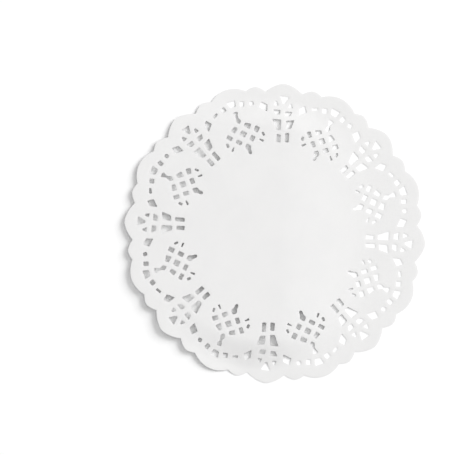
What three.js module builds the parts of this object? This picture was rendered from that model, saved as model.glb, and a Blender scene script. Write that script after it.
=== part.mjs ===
// A small round paper doily, die cut from one sheet: a plain centre, a ring of eight
// lattice petals parted by eight spokes, and an edge of thirty-two scallops.
// It lies flat with its underside on z = 0 and its centre on the Z axis. Millimetres.
import * as THREE from "three";

// Driving dimensions of the sheet
const repeats = 8;
const sheetThickness = 1; // the paper is far thinner, and this is its plain solid
const petalAxisBearing = 22.5; // degrees clockwise from +Y, halfway between two spokes
const spokeFromPetal = 22.5; // degrees from a petal's axis to the spoke on its right

// The die set every petal leaning a little anticlockwise about its own middle.
const lean = 2.4; // degrees
const leanRadius = 38.7;

// The scalloped edge: one row a lobe, clockwise from the petal's left cusp. A lobe runs
// from the last row's cusp to its own, and swells to its tip halfway between them. The
// higher its power, the blunter the tip.
const firstCusp = { bearing: -7.25, radius: 49 };
const lobes = [
  { name: "petal tip", bearing: 7.25, radius: 49, tip: 51, power: 2 },
  { name: "right side lobe", bearing: 15.05, radius: 48.1, tip: 49.95, power: 1.6 },
  { name: "spoke head", bearing: 29.95, radius: 48.1, tip: 50.8, power: 1.6 },
  { name: "left side lobe", bearing: 37.75, radius: 49, tip: 49.9, power: 1.6 },
];
const lobeSteps = 6;

// The cuts are charted about an axis that points outwards: side is to its right and out
// is from the doily's centre. A cut is long along its own line, turned clockwise from the
// axis by turn degrees, with a width at its outer and inner ends. slip shifts the outer
// end to the right of the inner one, and round is the radius of its corners.
const cutCorner = 0.35;
const mostEased = 0.4; // the share of an edge that the rounding of one corner may take
const petalCuts = {
  middleBead: { side: 0, out: 45.65, long: 2.15, outer: 3.1, inner: 2.0, round: 0.45 },
  leftBead: { side: -3.4, out: 44.72, long: 1.65, outer: 1.65, inner: 1.7, turn: -21 },
  rightBead: { side: 3.3, out: 44.8, long: 1.8, outer: 1.5, inner: 1.45, turn: 20 },
  leftPip: { side: -6.62, out: 43.68, long: 1.95, outer: 0.85, inner: 0.9, turn: 58, round: 0.4 },
  rightPip: { side: 6.45, out: 44.05, long: 1.45, outer: 1.4, inner: 1.4, round: 0.62 },
  upperLeftCell: { side: -2.3, out: 37.1, long: 2.15, outer: 1.2, inner: 1.7, turn: 55 },
  upperRightCell: { side: 2.33, out: 37.3, long: 2.15, outer: 1.3, inner: 2.0, turn: -52 },
  leftCell: { side: -4.82, out: 34.92, long: 2.05, outer: 1.4, inner: 1.4, turn: -43 },
  middleCell: { side: 0, out: 34.93, long: 2.0, outer: 2.0, inner: 2.0, turn: 45 },
  rightCell: { side: 4.87, out: 35.23, long: 2.05, outer: 1.6, inner: 1.6, turn: 48 },
  lowerLeftCell: { side: -2.36, out: 32.57, long: 2.05, outer: 1.45, inner: 1.45, turn: -43 },
  lowerRightCell: { side: 2.37, out: 32.69, long: 2.0, outer: 1.55, inner: 1.5, turn: 46 },
  leftNick: { side: -6.33, out: 32.66, long: 1.42, outer: 0.9, inner: 0.95, round: 0.36 },
  rightNick: { side: 6.42, out: 33.04, long: 1.42, outer: 0.75, inner: 0.85, turn: -4, round: 0.34 },
  leftSlit: { side: -5.09, out: 30.88, long: 1.6, outer: 0.5, inner: 0.76, turn: 39, round: 0.22 },
  rightSlit: { side: 5.08, out: 31.2, long: 1.5, outer: 0.45, inner: 0.76, turn: -47, round: 0.2 },
};
const spokeCuts = {
  fan: { side: 0.1, out: 45.15, long: 2.65, outer: 3.05, inner: 0.7, turn: 5, round: 0.4 },
  leftDrop: { side: -2.62, out: 43.9, long: 1.5, outer: 0.6, inner: 1.7 },
  rightDrop: { side: 2.33, out: 43.38, long: 1.45, outer: 0.6, inner: 1.55, turn: 8 },
  leftLeaf: { side: -2.2, out: 40.85, long: 1.62, outer: 2.5, inner: 1.7, slip: -0.3, round: 0.45 },
  rightLeaf: { side: 1.52, out: 40.54, long: 1.55, outer: 2.35, inner: 1.75, slip: 0.5, round: 0.4 },
  leftGate: { side: -1.98, out: 36.52, long: 3.7, outer: 3.0, inner: 1.6, slip: -0.66 },
  rightGate: { side: 1.94, out: 36.8, long: 2.9, outer: 2.85, inner: 1.9, turn: -9, slip: 1.15, round: 0.45 },
  leftBar: { side: -1.54, out: 31.94, long: 2.75, outer: 1.35, inner: 1.55, turn: 4, slip: -0.1 },
  rightBar: { side: 1.27, out: 32.37, long: 3.2, outer: 1.42, inner: 1.4, turn: -6, slip: 0.42 },
  leftKite: { side: -6.8, out: 42.52, long: 2.25, outer: 2.3, inner: 3.05, turn: 22, slip: -0.57 },
  rightKite: { side: 6.38, out: 42.07, long: 2.2, outer: 2.05, inner: 3.05, turn: -28, slip: 0.88 },
};

// Two longer cuts stand on the petal's axis, as wide each side as half says.
const spindle = [
  { out: 42.82, half: 0.5 },
  { out: 42.45, half: 0.88 },
  { out: 41.7, half: 0.58 },
  { out: 40.85, half: 0.38 },
  { out: 40.25, half: 0.58 },
  { out: 39.6, half: 0.82 },
  { out: 39.05, half: 0.6 },
  { out: 38.6, half: 0.14 },
];
const keyhole = [
  { out: 31.35, half: 0.2 },
  { out: 30.85, half: 0.72 },
  { out: 30.2, half: 1.02 },
  { out: 29.4, half: 0.7 },
  { out: 28.85, half: 0.6 },
  { out: 28.15, half: 0.58 },
  { out: 27.68, half: 0.22 },
];

// A charted place on the sheet, about the axis at a bearing, with the die's lean.
function onSheet(side, out, axisBearing) {
  const radius = Math.hypot(side, out);
  const leanedAxis = axisBearing + lean * (leanRadius / radius - 1);
  const bearing = Math.atan2(side, out) + THREE.MathUtils.degToRad(leanedAxis);
  return new THREE.Vector2(radius * Math.sin(bearing), radius * Math.cos(bearing));
}

// The four corners of a tapered cut, clockwise from its outer left one.
function cutCorners({ side, out, long, outer, inner, turn = 0, slip = 0 }) {
  const angle = THREE.MathUtils.degToRad(turn);
  const along = new THREE.Vector2(Math.sin(angle), Math.cos(angle));
  const across = new THREE.Vector2(along.y, -along.x);
  const corner = (end, halfWidth) =>
    new THREE.Vector2(side, out)
      .addScaledVector(along, (end * long) / 2)
      .addScaledVector(across, (end * slip) / 2 + halfWidth);
  return [corner(1, -outer / 2), corner(1, outer / 2), corner(-1, inner / 2), corner(-1, -inner / 2)];
}

// Each corner gives way to the two points where its rounding begins and ends.
function easeCorners(corners, radius) {
  return corners.flatMap((corner, i) => {
    const toward = (neighbour) =>
      corner.clone().lerp(neighbour, Math.min(radius / corner.distanceTo(neighbour), mostEased));
    return [toward(corners.at(i - 1)), toward(corners[(i + 1) % corners.length])];
  });
}

function taperedCut(row) {
  return easeCorners(cutCorners(row), row.round ?? cutCorner);
}

function profileCut(profile) {
  const right = profile.map(({ out, half }) => new THREE.Vector2(half, out));
  const left = profile.map(({ out, half }) => new THREE.Vector2(-half, out)).reverse();
  return [...right, ...left];
}

// One lobe of the edge as places on the sheet, from its first cusp up to its last.
function lobePoints(from, lobe, axisBearing) {
  const points = [];
  const rise = lobe.tip - (from.radius + lobe.radius) / 2;
  for (let step = 0; step < lobeSteps; step++) {
    const share = step / lobeSteps;
    const swell = rise * (1 - Math.abs(2 * share - 1) ** lobe.power);
    const radius = THREE.MathUtils.lerp(from.radius, lobe.radius, share) + swell;
    const bearing = THREE.MathUtils.lerp(from.bearing, lobe.bearing, share);
    points.push(onSheet(0, radius, axisBearing + bearing));
  }
  return points;
}

// The outline and the cuts of the whole sheet, repeat after repeat.
const outline = [];
const cuts = [];
for (let repeat = 0; repeat < repeats; repeat++) {
  const petalBearing = petalAxisBearing + (repeat * 360) / repeats;
  const spokeBearing = petalBearing + spokeFromPetal;
  let cusp = firstCusp;
  for (const lobe of lobes) {
    outline.push(...lobePoints(cusp, lobe, petalBearing));
    cusp = lobe;
  }
  const place = (points, bearing) => points.map((point) => onSheet(point.x, point.y, bearing));
  for (const row of Object.values(petalCuts)) cuts.push(place(taperedCut(row), petalBearing));
  for (const profile of [spindle, keyhole]) cuts.push(place(profileCut(profile), petalBearing));
  for (const row of Object.values(spokeCuts)) cuts.push(place(taperedCut(row), spokeBearing));
}

// A shape's outline runs anticlockwise and its holes clockwise, as the cuts already do.
const sheetShape = new THREE.Shape(outline.reverse());
for (const cut of cuts) sheetShape.holes.push(new THREE.Path(cut));

// The paper is matt and nearly white.
const paper = new THREE.MeshStandardMaterial({ color: 0xefefec, roughness: 0.85, metalness: 0 });

const sheet = new THREE.Mesh(
  new THREE.ExtrudeGeometry(sheetShape, { depth: sheetThickness, bevelEnabled: false }),
  paper,
);
sheet.name = "doily_sheet";

const doily = new THREE.Group();
doily.name = "paper_doily";
doily.add(sheet);

export default doily;
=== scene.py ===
# A small die-cut paper doily lying on a pale floor, seen from nearly straight above.
import math
import bpy
from mathutils import Matrix, Vector
from mathutils.geometry import delaunay_2d_cdt
from mathutils.kdtree import KDTree


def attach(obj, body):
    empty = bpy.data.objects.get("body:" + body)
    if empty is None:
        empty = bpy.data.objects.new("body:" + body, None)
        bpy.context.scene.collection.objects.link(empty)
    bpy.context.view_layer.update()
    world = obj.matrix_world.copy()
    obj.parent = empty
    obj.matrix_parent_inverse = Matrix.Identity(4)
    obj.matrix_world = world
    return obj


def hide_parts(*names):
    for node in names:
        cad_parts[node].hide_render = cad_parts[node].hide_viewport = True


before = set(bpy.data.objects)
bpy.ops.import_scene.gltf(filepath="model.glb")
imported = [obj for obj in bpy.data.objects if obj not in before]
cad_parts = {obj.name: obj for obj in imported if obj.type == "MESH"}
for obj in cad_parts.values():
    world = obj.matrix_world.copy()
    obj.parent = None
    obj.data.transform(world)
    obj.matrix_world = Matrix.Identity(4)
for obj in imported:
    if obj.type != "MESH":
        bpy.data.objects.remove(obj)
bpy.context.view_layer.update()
mm = 0.001

# The die repeats a petal eight times and leans each a little anticlockwise about its
# middle. Within plainRadius nothing is cut, and the lean grows no more.
die = {
    "repeats": 8,
    "petalAxis": 22.5,      # degrees clockwise from +Y
    "halfWedge": 22.5,      # degrees from a petal's axis to the spoke beside it
    "lean": 2.4,            # degrees
    "leanRadius": 38.7,     # mm, as all sizes of the chart
    "plainRadius": 24.0,
    "onSeam": 1.0,          # a spoke's cut closer to its axis than this is in both wedges
    "cutCorner": 0.35,
    "mostEased": 0.4,       # the share of an edge that one rounded corner may take
    "cornerSteps": 4,
    "curveSteps": 3,        # from row to row of a longer cut's profile
}

# The scalloped edge, lobe after lobe clockwise from the petal's left cusp. A lobe swells to
# its tip halfway, and the higher its power, the blunter the tip.
firstCusp = {"bearing": -7.25, "radius": 49}
lobes = [
    {"name": "petal tip", "bearing": 7.25, "radius": 49, "tip": 51, "power": 2, "steps": 48},
    {"name": "right side", "bearing": 15.05, "radius": 48.1, "tip": 49.95, "power": 1.6, "steps": 26},
    {"name": "spoke head", "bearing": 29.95, "radius": 48.1, "tip": 50.8, "power": 1.6, "steps": 48},
    {"name": "left side", "bearing": 37.75, "radius": 49, "tip": 49.9, "power": 1.6, "steps": 26},
]

# Each cut stands side to the right of its axis and out from the doily's centre. It is long
# along its own line, turned clockwise, with a width at its outer and inner ends. slip moves
# the outer end to the right of the inner one, and round is the radius of its corners.
petalCuts = {
    "middleBead": dict(side=0, out=45.65, long=2.15, outer=3.1, inner=2.0, round=0.45),
    "leftBead": dict(side=-3.4, out=44.72, long=1.65, outer=1.65, inner=1.7, turn=-21),
    "rightBead": dict(side=3.3, out=44.8, long=1.8, outer=1.5, inner=1.45, turn=20),
    "leftPip": dict(side=-6.62, out=43.68, long=1.95, outer=0.85, inner=0.9, turn=58, round=0.4),
    "rightPip": dict(side=6.45, out=44.05, long=1.45, outer=1.4, inner=1.4, round=0.62),
    "upperLeftCell": dict(side=-2.3, out=37.1, long=2.15, outer=1.2, inner=1.7, turn=55),
    "upperRightCell": dict(side=2.33, out=37.3, long=2.15, outer=1.3, inner=2.0, turn=-52),
    "leftCell": dict(side=-4.82, out=34.92, long=2.05, outer=1.4, inner=1.4, turn=-43),
    "middleCell": dict(side=0, out=34.93, long=2.0, outer=2.0, inner=2.0, turn=45),
    "rightCell": dict(side=4.87, out=35.23, long=2.05, outer=1.6, inner=1.6, turn=48),
    "lowerLeftCell": dict(side=-2.36, out=32.57, long=2.05, outer=1.45, inner=1.45, turn=-43),
    "lowerRightCell": dict(side=2.37, out=32.69, long=2.0, outer=1.55, inner=1.5, turn=46),
    "leftNick": dict(side=-6.33, out=32.66, long=1.42, outer=0.9, inner=0.95, round=0.36),
    "rightNick": dict(side=6.42, out=33.04, long=1.42, outer=0.75, inner=0.85, turn=-4, round=0.34),
    "leftSlit": dict(side=-5.09, out=30.88, long=1.6, outer=0.5, inner=0.76, turn=39, round=0.22),
    "rightSlit": dict(side=5.08, out=31.2, long=1.5, outer=0.45, inner=0.76, turn=-47, round=0.2),
}
spokeCuts = {
    "fan": dict(side=0.1, out=45.15, long=2.65, outer=3.05, inner=0.7, turn=5, round=0.4),
    "leftDrop": dict(side=-2.62, out=43.9, long=1.5, outer=0.6, inner=1.7),
    "rightDrop": dict(side=2.33, out=43.38, long=1.45, outer=0.6, inner=1.55, turn=8),
    "leftLeaf": dict(side=-2.2, out=40.85, long=1.62, outer=2.5, inner=1.7, slip=-0.3, round=0.45),
    "rightLeaf": dict(side=1.52, out=40.54, long=1.55, outer=2.35, inner=1.75, slip=0.5, round=0.4),
    "leftGate": dict(side=-1.98, out=36.52, long=3.7, outer=3.0, inner=1.6, slip=-0.66),
    "rightGate": dict(side=1.94, out=36.8, long=2.9, outer=2.85, inner=1.9, turn=-9, slip=1.15, round=0.45),
    "leftBar": dict(side=-1.54, out=31.94, long=2.75, outer=1.35, inner=1.55, turn=4, slip=-0.1),
    "rightBar": dict(side=1.27, out=32.37, long=3.2, outer=1.42, inner=1.4, turn=-6, slip=0.42),
    "leftKite": dict(side=-6.8, out=42.52, long=2.25, outer=2.3, inner=3.05, turn=22, slip=-0.57),
    "rightKite": dict(side=6.38, out=42.07, long=2.2, outer=2.05, inner=3.05, turn=-28, slip=0.88),
}

# Two longer cuts stand on the petal's axis, as wide each side as half says.
spindle = [
    {"out": 42.82, "half": 0.5},
    {"out": 42.45, "half": 0.88},
    {"out": 41.7, "half": 0.58},
    {"out": 40.85, "half": 0.38},
    {"out": 40.25, "half": 0.58},
    {"out": 39.6, "half": 0.82},
    {"out": 39.05, "half": 0.6},
    {"out": 38.6, "half": 0.14},
]
keyhole = [
    {"out": 31.35, "half": 0.2},
    {"out": 30.85, "half": 0.72},
    {"out": 30.2, "half": 1.02},
    {"out": 29.4, "half": 0.7},
    {"out": 28.85, "half": 0.6},
    {"out": 28.15, "half": 0.58},
    {"out": 27.68, "half": 0.22},
]

# How finely the sheet is meshed, in mm
grid = {
    "edgeStep": 0.26,           # along a cut
    "rings": [0.13, 0.33],      # from the edges to the rows of points that follow them
    "laceStep": 0.52,           # along the other rows, in the lace
    "plainStep": 1.7,           # and in the plain middle
    "laceFrom": 26.2,           # the radius where the lace's fine step begins
    "laceBlend": 6.0,           # how far within that radius the step is the plain one
    "rowShare": 0.87,           # from row to row, of the step along a row
    "rimClear": 0.1,            # from the last point of a seam to the rim
    "ringClear": 0.85,          # the least room of a point, of its ring's distance
    "rowClear": 0.55,           # or of its row's step
    "seamClear": 0.999,         # the share of the half wedge that a row may reach
    "cell": 0.5,                # of the search for points close by
    "weld": 1e-6,
}


def fromBearing(radius, bearing):
    angle = math.radians(bearing)
    return Vector((radius * math.sin(angle), radius * math.cos(angle)))


def bearingOf(point):
    return math.degrees(math.atan2(point.x, point.y))


def aboutAxis(points, axisBearing):     # from a chart about its axis to the wedge
    turn = Matrix.Rotation(-math.radians(axisBearing), 2)
    return [turn @ point for point in points]


# The corners of a tapered cut, clockwise from its outer left one
def cutCorners(cut):
    angle = math.radians(cut.get("turn", 0))
    along = Vector((math.sin(angle), math.cos(angle)))
    across = Vector((along.y, -along.x))
    middle = Vector((cut["side"], cut["out"]))

    def corner(end, halfWidth):
        aside = end * cut.get("slip", 0) / 2 + halfWidth
        return middle + along * end * cut["long"] / 2 + across * aside

    return [corner(1, -cut["outer"] / 2), corner(1, cut["outer"] / 2),
            corner(-1, cut["inner"] / 2), corner(-1, -cut["inner"] / 2)]


def roundCorners(corners, radius):
    points = []
    for i, corner in enumerate(corners):
        ends = []
        for neighbour in (corners[i - 1], corners[(i + 1) % len(corners)]):
            share = min(radius / (neighbour - corner).length, die["mostEased"])
            ends.append(corner.lerp(neighbour, share))
        for step in range(die["cornerSteps"] + 1):
            share = step / die["cornerSteps"]
            points.append(ends[0].lerp(corner, share).lerp(corner.lerp(ends[1], share), share))
    return points


# A closed smooth curve through a cut's profile on both sides of its axis, clockwise
def profileCurve(profile):
    right = [Vector((row["half"], row["out"])) for row in profile]
    left = [Vector((-row["half"], row["out"])) for row in reversed(profile)]
    knots = right + left
    points = []
    for i, knot in enumerate(knots):
        before, after, beyond = knots[i - 1], knots[(i + 1) % len(knots)], knots[(i + 2) % len(knots)]
        for step in range(die["curveSteps"]):
            t = step / die["curveSteps"]
            points.append(0.5 * ((2 * knot) + (after - before) * t
                                 + (2 * before - 5 * knot + 4 * after - beyond) * t ** 2
                                 + (3 * knot - before - 3 * after + beyond) * t ** 3))
    return points


def stepAlong(loop, longest):
    stepped = []
    for start, end in zip(loop, loop[1:] + loop[:1]):
        count = max(1, math.ceil((end - start).length / longest))
        stepped += [start.lerp(end, step / count) for step in range(count)]
    return stepped


def taperedCut(cut):
    return roundCorners(cutCorners(cut), cut.get("round", die["cutCorner"]))


# Every cut that a wedge holds, with the fan that stands on both of its seams
def wedgeCuts():
    cuts = [taperedCut(cut) for cut in petalCuts.values()]
    cuts += [profileCurve(spindle), profileCurve(keyhole)]
    for cut in spokeCuts.values():
        if cut["side"] < die["onSeam"]:
            cuts.append(aboutAxis(taperedCut(cut), die["halfWedge"]))
        if cut["side"] > -die["onSeam"]:
            cuts.append(aboutAxis(taperedCut(cut), -die["halfWedge"]))
    return [stepAlong(loop, grid["edgeStep"]) for loop in cuts]


# The rim of one wedge, from its left seam to its right one
def wedgeRim():
    left, right = [], []
    cusp = firstCusp
    for lobe in lobes:
        rise = lobe["tip"] - (cusp["radius"] + lobe["radius"]) / 2
        for step in range(lobe["steps"]):
            share = step / lobe["steps"]
            radius = cusp["radius"] + (lobe["radius"] - cusp["radius"]) * share
            radius += rise * (1 - abs(2 * share - 1) ** lobe["power"])
            bearing = cusp["bearing"] + (lobe["bearing"] - cusp["bearing"]) * share
            if bearing <= die["halfWedge"]:
                right.append(fromBearing(radius, bearing))
            if bearing >= die["halfWedge"]:
                left.append(fromBearing(radius, bearing - 2 * die["halfWedge"]))
        cusp = lobe
    return left + right


# Rows of points beside a loop, to the left of the way that it runs
def besideLoop(loop, distance, closed=True):
    points = []
    for i, point in enumerate(loop):
        if not closed and i in (0, len(loop) - 1):
            continue
        along = (loop[(i + 1) % len(loop)] - loop[i - 1]).normalized()
        points.append(point + Vector((-along.y, along.x)) * distance)
    return points


def loopReach(loop):        # its middle, and how far it reaches from there
    centre = sum(loop, Vector((0, 0))) / len(loop)
    return centre, max((point - centre).length for point in loop)


def isInside(point, loop):
    inside = False
    for start, end in zip(loop, loop[1:] + loop[:1]):
        if (start.y > point.y) != (end.y > point.y):
            crossing = start.x + (point.y - start.y) / (end.y - start.y) * (end.x - start.x)
            inside = inside != (crossing > point.x)
    return inside


# The radii of the rows that fill the sheet, with the step along each
def fillRows():
    rows = []
    radius = grid["plainStep"]
    while radius < lobes[0]["tip"]:
        plain = min(1, max(0, (grid["laceFrom"] - radius) / grid["laceBlend"]))
        step = grid["laceStep"] + (grid["plainStep"] - grid["laceStep"]) * plain
        rows.append((radius, step))
        radius += step * grid["rowShare"]
    return rows


# Keeps the points that lie clear of each other and of what is already there
class Scatter:
    def __init__(self, cell):
        self.cell = cell
        self.points = []
        self.cells = {}

    def near(self, point, distance):
        reach = math.ceil(distance / self.cell)
        column, row = int(point.x // self.cell), int(point.y // self.cell)
        for i in range(column - reach, column + reach + 1):
            for j in range(row - reach, row + reach + 1):
                if any((other - point).length < distance for other in self.cells.get((i, j), ())):
                    return True
        return False

    def add(self, point):
        self.points.append(point)
        self.cells.setdefault((int(point.x // self.cell), int(point.y // self.cell)), []).append(point)


def edgeFinder(edgePoints):     # gives a function for the distance from a point to the nearest
    tree = KDTree(len(edgePoints))
    for i, point in enumerate(edgePoints):
        tree.insert(point.to_3d(), i)
    tree.balance()
    return lambda point: tree.find(point.to_3d())[2]


def rimRadius(rim, point):      # at a point's bearing
    bearing = bearingOf(point)
    for start, end in zip(rim, rim[1:]):
        if bearingOf(start) <= bearing <= bearingOf(end):
            share = (bearing - bearingOf(start)) / (bearingOf(end) - bearingOf(start))
            return start.length + (end.length - start.length) * share
    return rim[0].length


# From the sheet's centre up the left seam, along the rim and down the right seam
def wedgeOutline(rim, rows, toEdge):
    half = die["halfWedge"]
    radii = [radius for radius, step in rows if radius < rim[0].length - grid["rimClear"]
             and toEdge(fromBearing(radius, half)) > grid["rings"][0]]
    left = [fromBearing(radius, -half) for radius in radii]
    right = [fromBearing(radius, half) for radius in reversed(radii)]
    return [Vector((0, 0))] + left + rim + right


# The points within the sheet: rings that follow its edges, then rows that fill the rest
def insidePoints(taken, cuts, rim, rows, toEdge):
    half = die["halfWedge"]
    filled = Scatter(grid["cell"])
    for point in taken:
        filled.add(point)
    for distance in grid["rings"]:
        room = grid["ringClear"] * distance
        beside = [point for loop in cuts for point in besideLoop(loop, distance)]
        beside += besideLoop(rim[::-1], distance, closed=False)
        for point in beside:
            inside = abs(bearingOf(point)) < half and toEdge(point) > room
            if inside and not filled.near(point, room):
                filled.add(point)
    for count, (radius, step) in enumerate(rows):
        places = max(1, round(math.radians(2 * half) * radius / step))
        for place in range(places):
            share = (place + (0.5 if count % 2 else 1)) / places
            point = fromBearing(radius, half * (2 * share - 1))
            outside = abs(bearingOf(point)) > half * grid["seamClear"] or radius > rimRadius(rim, point)
            if not outside and not filled.near(point, grid["rowClear"] * step):
                filled.add(point)
    return filled.points[len(taken):]


def keptFaces(points, faces, cuts):     # those in the wedge and in no cut
    holes = [(loop, *loopReach(loop)) for loop in cuts]
    kept = []
    for face in faces:
        middle = sum((points[i] for i in face), Vector((0, 0))) / 3
        cutAway = any((middle - centre).length < reach and isInside(middle, loop)
                      for loop, centre, reach in holes)
        if abs(bearingOf(middle)) < die["halfWedge"] and not cutAway:
            kept.append(face)
    return kept


def leaned(point):      # the die's lean, as a turn that depends on the radius
    radius = max(point.length, die["plainRadius"])
    return Matrix.Rotation(-math.radians(die["lean"] * (die["leanRadius"] / radius - 1)), 2) @ point


# One eighth of the sheet as a flat mesh, its petal's axis along +Y
def makeWedge():
    cuts, rim, rows = wedgeCuts(), wedgeRim(), fillRows()
    edgePoints = [point for loop in cuts + [rim] for point in loop]
    toEdge = edgeFinder(edgePoints)
    outline = wedgeOutline(rim, rows, toEdge)
    points = outline + [point for loop in cuts for point in loop]
    points += insidePoints(outline + edgePoints, cuts, rim, rows, toEdge)
    lines, start = [], 0
    for loop in [outline] + cuts:
        lines += [(start + i, start + (i + 1) % len(loop)) for i in range(len(loop))]
        start += len(loop)
    placed, _, faces, _, _, _ = delaunay_2d_cdt(points, lines, [], 1, grid["weld"])
    kept = keptFaces(placed, faces, cuts)
    used = sorted({i for face in kept for i in face})
    order = {old: new for new, old in enumerate(used)}
    mesh = bpy.data.meshes.new("doilyWedge")
    mesh.from_pydata([(leaned(placed[i]) * mm).to_3d() for i in used], [],
                     [[order[i] for i in face] for face in kept])
    distance = mesh.attributes.new("toCut", "FLOAT", "POINT")
    distance.data.foreach_set("value", [toEdge(placed[i]) * mm for i in used])
    return mesh


# Node maths as expressions: one Signal wraps a socket, and an operator adds a Math node
def operator(operation, swapped=False):
    def apply(self, other):
        pair = (other, self) if swapped else (self, other)
        return self.maker.maths(operation, *pair)
    return apply


class Signal:
    def __init__(self, maker, node, output=0):
        self.maker = maker
        self.node = node
        self.socket = node.outputs[output]

    def out(self, name):
        return Signal(self.maker, self.node, name)

    __add__ = operator("ADD")
    __radd__ = operator("ADD", swapped=True)
    __sub__ = operator("SUBTRACT")
    __rsub__ = operator("SUBTRACT", swapped=True)
    __mul__ = operator("MULTIPLY")
    __rmul__ = operator("MULTIPLY", swapped=True)
    __truediv__ = operator("DIVIDE")
    __rtruediv__ = operator("DIVIDE", swapped=True)


class NodeMaker:
    def __init__(self, tree):
        self.tree = tree

    # settings are set first, then the sockets, by name or number
    def make(self, kind, settings=None, sockets=None):
        node = self.tree.nodes.new(kind)
        for name, value in (settings or {}).items():
            setattr(node, name, value)
        for key, value in (sockets or {}).items():
            if isinstance(value, Signal):
                self.tree.links.new(value.socket, node.inputs[key])
            else:
                node.inputs[key].default_value = value
        return Signal(self, node) if node.outputs else node

    def maths(self, operation, *values):
        return self.make("ShaderNodeMath", {"operation": operation}, dict(enumerate(values)))

    def ramp(self, value, low, high):       # smoothly from 0 at low to 1 at high
        return self.make("ShaderNodeMapRange", {"interpolation_type": "SMOOTHSTEP"},
                         {"Value": value, "From Min": low, "From Max": high})

    def blend(self, factor, first, second):     # of two colours
        mix = self.make("ShaderNodeMix", {"data_type": "RGBA"}, {0: factor, 6: first, 7: second})
        return mix.out(2)


# How the paper lies: its right third is flat on the floor and the rest stands a little off
# it. It comes down again outside a circle a little to the left, but never at the left rim.
lie = {
    "Repeats": die["repeats"],
    "Seam": 0.01 * mm,              # points closer than this are one
    "Thickness": 0.1 * mm,
    "Sharp Angle": math.radians(40),
    "Crown Height": 0.035 * mm,     # between cuts, above their edges
    "Crown Width": 0.5 * mm,
    "Bearing": math.radians(4.56),  # of the lie's own axes, anticlockwise from the sheet's
    "Height": 1.45 * mm,            # above the floor, at the middle
    "Slope": 0.01,                  # it stands a little higher towards the near end
    "Right From": 1 * mm,           # it comes down between these two
    "Right To": 34.5 * mm,
    "Circle Shift": 5 * mm,
    "Circle From": 36 * mm,
    "Circle To": 46.5 * mm,
    "Left From": 10 * mm,           # it stays up to the left of these two
    "Left To": 38 * mm,
    "Ripple Height": 0.2 * mm,
    "Ripple Size": 26 * mm,
    "Seed": 5.0,
}


def ringOfWedges(maker, given):     # round the centre, joined at their seams
    turn = maker.make("GeometryNodeInputIndex") * (-2 * math.pi) / given.out("Repeats")
    turn = turn - math.radians(die["petalAxis"])
    angles = maker.make("ShaderNodeCombineXYZ", None, {"Z": turn})
    places = maker.make("GeometryNodePoints", None, {"Count": given.out("Repeats")})
    ring = maker.make("GeometryNodeInstanceOnPoints", None, {
        "Points": places, "Instance": given.out("Wedge"),
        "Rotation": maker.make("FunctionNodeEulerToRotation", None, {"Euler": angles})})
    ring = maker.make("GeometryNodeRealizeInstances", None, {"Geometry": ring})
    return maker.make("GeometryNodeMergeByDistance", None, {
        "Geometry": ring, "Distance": given.out("Seam")})


def heightOfSheet(maker, given):    # at each place, as an offset
    place = maker.make("GeometryNodeInputPosition")
    own = maker.make("ShaderNodeVectorRotate", {"rotation_type": "Z_AXIS", "invert": True},
                     {"Vector": place, "Angle": given.out("Bearing")})
    split = maker.make("ShaderNodeSeparateXYZ", None, {"Vector": own})
    right, end = split.out("X"), split.out("Y")
    shifted = right + given.out("Circle Shift")
    reach = maker.maths("SQRT", shifted * shifted + end * end)
    atRight = maker.ramp(right, given.out("Right From"), given.out("Right To"))
    atLeft = maker.ramp(0 - right, given.out("Left From"), given.out("Left To"))
    atEnd = maker.ramp(reach, given.out("Circle From"), given.out("Circle To")) * (1 - atLeft)
    up = (1 - atRight) * (1 - atEnd)
    ripple = maker.make("ShaderNodeTexNoise", {"noise_dimensions": "4D"}, {
        "Vector": place, "W": given.out("Seed"), "Scale": 1 / given.out("Ripple Size"), "Detail": 1.0})
    most = given.out("Height") - end * given.out("Slope")
    stand = up * (most + (ripple - 0.5) * 2 * given.out("Ripple Height"))
    toCut = maker.make("GeometryNodeInputNamedAttribute", {"data_type": "FLOAT"}, {"Name": "toCut"})
    crown = maker.ramp(toCut, 0.0, given.out("Crown Width")) * given.out("Crown Height")
    return maker.make("ShaderNodeCombineXYZ", None, {"Z": stand + crown})


# The sheet drawn up by its thickness, closed by the sheet turned over
def thickened(maker, given, lower):
    upper = maker.make("GeometryNodeExtrudeMesh", {"mode": "FACES"}, {
        "Mesh": lower, "Offset": (0, 0, 1), "Offset Scale": given.out("Thickness"),
        "Individual": False})
    turned = maker.make("GeometryNodeFlipFaces", None, {"Mesh": lower})
    both = maker.make("GeometryNodeJoinGeometry")
    for part in (upper, turned):
        maker.tree.links.new(part.socket, both.node.inputs[0])
    return maker.make("GeometryNodeMergeByDistance", None, {
        "Geometry": both, "Distance": given.out("Seam")})


def smoothed(maker, given, sheet):      # but for the paper's edges
    edgeAngle = maker.make("GeometryNodeInputMeshEdgeAngle")
    smooth = maker.make("GeometryNodeSetShadeSmooth", {"domain": "FACE"}, {
        "Geometry": sheet, "Shade Smooth": True})
    return maker.make("GeometryNodeSetShadeSmooth", {"domain": "EDGE"}, {
        "Geometry": smooth, "Shade Smooth": False,
        "Selection": maker.maths("GREATER_THAN", edgeAngle, given.out("Sharp Angle"))})


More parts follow.
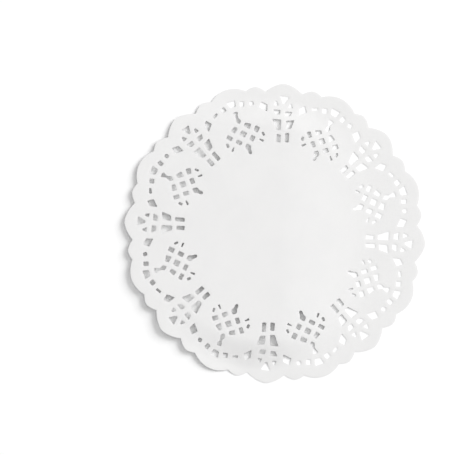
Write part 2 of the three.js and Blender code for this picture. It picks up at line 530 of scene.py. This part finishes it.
def lieTree():
    tree = bpy.data.node_groups.new("sheetThatLies", "GeometryNodeTree")
    tree.interface.new_socket("Wedge", in_out="INPUT", socket_type="NodeSocketGeometry")
    for name, value in lie.items():
        kind = "NodeSocketInt" if isinstance(value, int) else "NodeSocketFloat"
        tree.interface.new_socket(name, in_out="INPUT", socket_type=kind)
    tree.interface.new_socket("Paper", in_out="INPUT", socket_type="NodeSocketMaterial")
    tree.interface.new_socket("Sheet", in_out="OUTPUT", socket_type="NodeSocketGeometry")
    maker = NodeMaker(tree)
    given = maker.make("NodeGroupInput")
    lower = maker.make("GeometryNodeSetPosition", None, {
        "Geometry": ringOfWedges(maker, given), "Offset": heightOfSheet(maker, given)})
    sheet = smoothed(maker, given, thickened(maker, given, lower))
    real = maker.make("GeometryNodeRealizeInstances", None, {"Geometry": sheet})
    painted = maker.make("GeometryNodeSetMaterial", None, {
        "Geometry": real, "Material": given.out("Paper")})
    maker.make("NodeGroupOutput", None, {"Sheet": painted})
    return tree


def setInputs(modifier, values):
    sockets = {item.name: item.identifier for item in modifier.node_group.interface.items_tree
               if item.in_out == "INPUT"}
    for name, value in values.items():
        modifier[sockets[name]] = value


# Matt uncoated paper: faint cloudiness, short fibres every way, and a fine tooth
paperLook = {
    "colour": (0.812, 0.808, 0.805, 1),
    "cloud": (0.798, 0.795, 0.793, 1),
    "fleck": (0.75, 0.747, 0.74, 1),
    "cloudSize": 11 * mm,
    "clouds": (0.35, 0.7),      # where the noise begins to cloud, and is all cloud
    "fibreLength": 1.1 * mm,
    "fibreWidth": 0.07 * mm,
    "fibres": (0.56, 0.76),     # where the noise begins to be a fibre, and is all fibre
    "bearings": (12, 61, 98, 147),
    "wander": 1.3 * mm,         # how far a fibre is drawn out of its line
    "wanderSize": 1.6 * mm,
    "toothSize": 0.16 * mm,
    "relief": 0.014 * mm,
    "fibreRelief": 0.6,         # shares of the relief
    "toothRelief": 0.7,
    "fibreTint": 0.16,          # how far a fibre goes to the fleck's colour
    "roughness": 0.84,
    "toothRoughness": 0.12,     # added on the tooth
    "pressedWidth": 0.35 * mm,  # the strip that the die presses beside a cut
    "pressedGloss": 0.1,        # roughness taken off there
    "pressedRelief": 0.5,       # and the share of the relief
    "specular": 0.25,
}


# Short strands every way, as a mask
def fibreMask(maker, place):
    wander = maker.make("ShaderNodeTexNoise", None, {
        "Vector": place, "Scale": 1 / paperLook["wanderSize"], "Detail": 1.0}).out("Color")
    bent = maker.make("ShaderNodeVectorMath", {"operation": "MULTIPLY_ADD"}, {
        0: wander, 1: (paperLook["wander"], paperLook["wander"], 0), 2: place})
    fibres = None
    for bearing in paperLook["bearings"]:
        # As a texture's own mapping it turns first, and divides by its scale after that.
        laid = maker.make("ShaderNodeMapping", {"vector_type": "TEXTURE"}, {
            "Vector": bent, "Rotation": (0, 0, math.radians(bearing)),
            "Scale": (paperLook["fibreLength"], paperLook["fibreWidth"], paperLook["fibreLength"])})
        strands = maker.make("ShaderNodeTexNoise", None, {"Vector": laid, "Scale": 1.0, "Detail": 1.0})
        strands = maker.ramp(strands, *paperLook["fibres"])
        fibres = strands if fibres is None else maker.maths("MAXIMUM", fibres, strands)
    return fibres


def makePaper():
    material = bpy.data.materials.new("doilyPaper")
    material.use_nodes = True
    maker = NodeMaker(material.node_tree)
    shader = material.node_tree.nodes["Principled BSDF"]
    place = maker.make("ShaderNodeTexCoord").out("Object")
    clouds = maker.make("ShaderNodeTexNoise", None, {
        "Vector": place, "Scale": 1 / paperLook["cloudSize"], "Detail": 3.0, "Roughness": 0.6})
    tooth = maker.make("ShaderNodeTexNoise", None, {
        "Vector": place, "Scale": 1 / paperLook["toothSize"], "Detail": 3.0, "Roughness": 0.7})
    fibres = fibreMask(maker, place)
    toCut = maker.make("ShaderNodeAttribute", {"attribute_name": "toCut"}).out("Fac")
    pressed = 1 - maker.ramp(toCut, 0.0, paperLook["pressedWidth"])
    clouded = maker.ramp(clouds, *paperLook["clouds"])
    colour = maker.blend(clouded, paperLook["colour"], paperLook["cloud"])
    flecked = fibres * paperLook["fibreTint"] * (1 - pressed)
    colour = maker.blend(flecked, colour, paperLook["fleck"])
    roughness = paperLook["roughness"] + tooth * paperLook["toothRoughness"]
    roughness = roughness - pressed * paperLook["pressedGloss"]
    relief = fibres * paperLook["fibreRelief"] + tooth * paperLook["toothRelief"]
    relief = relief * (1 - pressed * paperLook["pressedRelief"])
    bump = maker.make("ShaderNodeBump", None, {
        "Strength": 1.0, "Distance": paperLook["relief"], "Height": relief})
    for name, signal in (("Base Color", colour), ("Roughness", roughness), ("Normal", bump)):
        material.node_tree.links.new(signal.socket, shader.inputs[name])
    shader.inputs["Specular IOR Level"].default_value = paperLook["specular"]
    return material


def makeDoily():
    seed = bpy.data.objects.new("doilyWedge", makeWedge())
    bpy.context.scene.collection.objects.link(seed)
    print("one wedge of the sheet:", len(seed.data.polygons), "faces")
    paper = makePaper()
    seed.data.materials.append(paper)
    modifier = seed.modifiers.new("sheetThatLies", "NODES")
    modifier.node_group = lieTree()
    setInputs(modifier, {**lie, "Paper": paper})
    depsgraph = bpy.context.evaluated_depsgraph_get()
    mesh = bpy.data.meshes.new_from_object(seed.evaluated_get(depsgraph), depsgraph=depsgraph)
    seed.modifiers.remove(modifier)
    bpy.data.objects.remove(seed)
    doily = bpy.data.objects.new("paperDoily", mesh)
    bpy.context.scene.collection.objects.link(doily)
    print("the whole sheet:", len(mesh.polygons), "faces")
    return doily


doily = makeDoily()
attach(doily, "root")
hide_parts("doily_sheet")

# The floor is wide, pale and plain.
floorLook = {
    "size": 4.0,
    "under": 0.02 * mm,         # how far below the sheet
    "colour": (0.975, 0.975, 0.975, 1),
    "patch": (0.968, 0.969, 0.97, 1),
    "patchScale": 3.0,          # patches a metre
}


def makeFloor():
    half = floorLook["size"] / 2
    mesh = bpy.data.meshes.new("floor")
    corners = [(-half, -half), (half, -half), (half, half), (-half, half)]
    mesh.from_pydata([(x, y, -floorLook["under"]) for x, y in corners], [], [(0, 1, 2, 3)])
    material = bpy.data.materials.new("floorPaint")
    material.use_nodes = True
    maker = NodeMaker(material.node_tree)
    shader = material.node_tree.nodes["Principled BSDF"]
    place = maker.make("ShaderNodeTexCoord").out("Object")
    patches = maker.make("ShaderNodeTexNoise", None, {
        "Vector": place, "Scale": floorLook["patchScale"], "Detail": 2.0})
    colour = maker.blend(patches, floorLook["colour"], floorLook["patch"])
    material.node_tree.links.new(colour.socket, shader.inputs["Base Color"])
    shader.inputs["Roughness"].default_value = 1.0
    shader.inputs["Specular IOR Level"].default_value = 0.0
    mesh.materials.append(material)
    floor = bpy.data.objects.new("floor", mesh)
    bpy.context.scene.collection.objects.link(floor)


makeFloor()
print("floor laid")

# The view is turned against the sheet, and leans to its lower left.
view = {
    "turn": 4.5625,         # degrees that the sheet is turned clockwise in the picture
    "tilt": 9.28,           # degrees off straight down
    "towards": -122.3,      # degrees anticlockwise from the picture's right
    "distance": 2.0,
    "film": 36,             # its width, in mm
    "width": 152.45 * mm,   # what the picture is wide on the sheet
    "centre": (-16.1 * mm, 1.58 * mm),  # the picture's middle, right of and above the sheet's
    "aimHeight": 1 * mm,
}


def pictureToSheet(x, y):
    flat = Matrix.Rotation(math.radians(view["turn"]), 2) @ Vector((x, y))
    return flat.to_3d()


def direction(bearing, tilt):       # anticlockwise from the picture's right, and off the vertical
    angle, lean = math.radians(bearing), math.radians(tilt)
    level = pictureToSheet(math.cos(angle), math.sin(angle))
    return level * math.sin(lean) + Vector((0, 0, math.cos(lean)))


def makeCamera():
    data = bpy.data.cameras.new("camera")
    data.sensor_width = view["film"]
    data.lens = data.sensor_width * view["distance"] / view["width"]
    camera = bpy.data.objects.new("camera", data)
    bpy.context.scene.collection.objects.link(camera)
    bpy.context.scene.camera = camera
    away = direction(view["towards"], view["tilt"])
    level = Vector((away.x, away.y, 0)).normalized()
    basis = Matrix.Rotation(math.radians(view["turn"]), 4, "Z")
    basis = Matrix.Rotation(math.radians(view["tilt"]), 4, Vector((0, 0, 1)).cross(level)) @ basis
    aim = pictureToSheet(*view["centre"]) + Vector((0, 0, view["aimHeight"]))
    camera.matrix_world = Matrix.Translation(aim + away * view["distance"]) @ basis


# One soft key from the upper right, and a dim room that is brighter overhead
light = {
    "keyFrom": 30,          # degrees anticlockwise from the picture's right
    "keyTilt": 56,          # degrees off straight up
    "keyDistance": 6.0,
    "keySize": 4.0,
    "keyPower": 354.0,
    "roomLow": 0.34,
    "roomHigh": 1.1,
    "high": (0.7, 0.95),    # where the room begins to brighten overhead, and is brightest
}


def makeKey():
    data = bpy.data.lights.new("keySoftbox", "AREA")
    data.size = light["keySize"]
    data.energy = light["keyPower"]
    key = bpy.data.objects.new("keySoftbox", data)
    bpy.context.scene.collection.objects.link(key)
    away = direction(light["keyFrom"], light["keyTilt"])
    facing = away.to_track_quat("Z", "Y").to_matrix().to_4x4()
    key.matrix_world = Matrix.Translation(away * light["keyDistance"]) @ facing


def makeRoom():
    world = bpy.data.worlds.new("paleRoom")
    bpy.context.scene.world = world
    world.use_nodes = True
    maker = NodeMaker(world.node_tree)
    way = maker.make("ShaderNodeTexCoord").out("Generated")
    split = maker.make("ShaderNodeSeparateXYZ", None, {"Vector": way})
    high = maker.ramp(split.out("Z"), *light["high"])
    level = light["roomLow"] + high * (light["roomHigh"] - light["roomLow"])
    background = world.node_tree.nodes["Background"]
    world.node_tree.links.new(level.socket, background.inputs["Strength"])
    background.inputs["Color"].default_value = (1, 1, 1, 1)


makeCamera()
makeKey()
makeRoom()
bpy.context.scene.view_settings.view_transform = "Standard"
print("camera and light set")
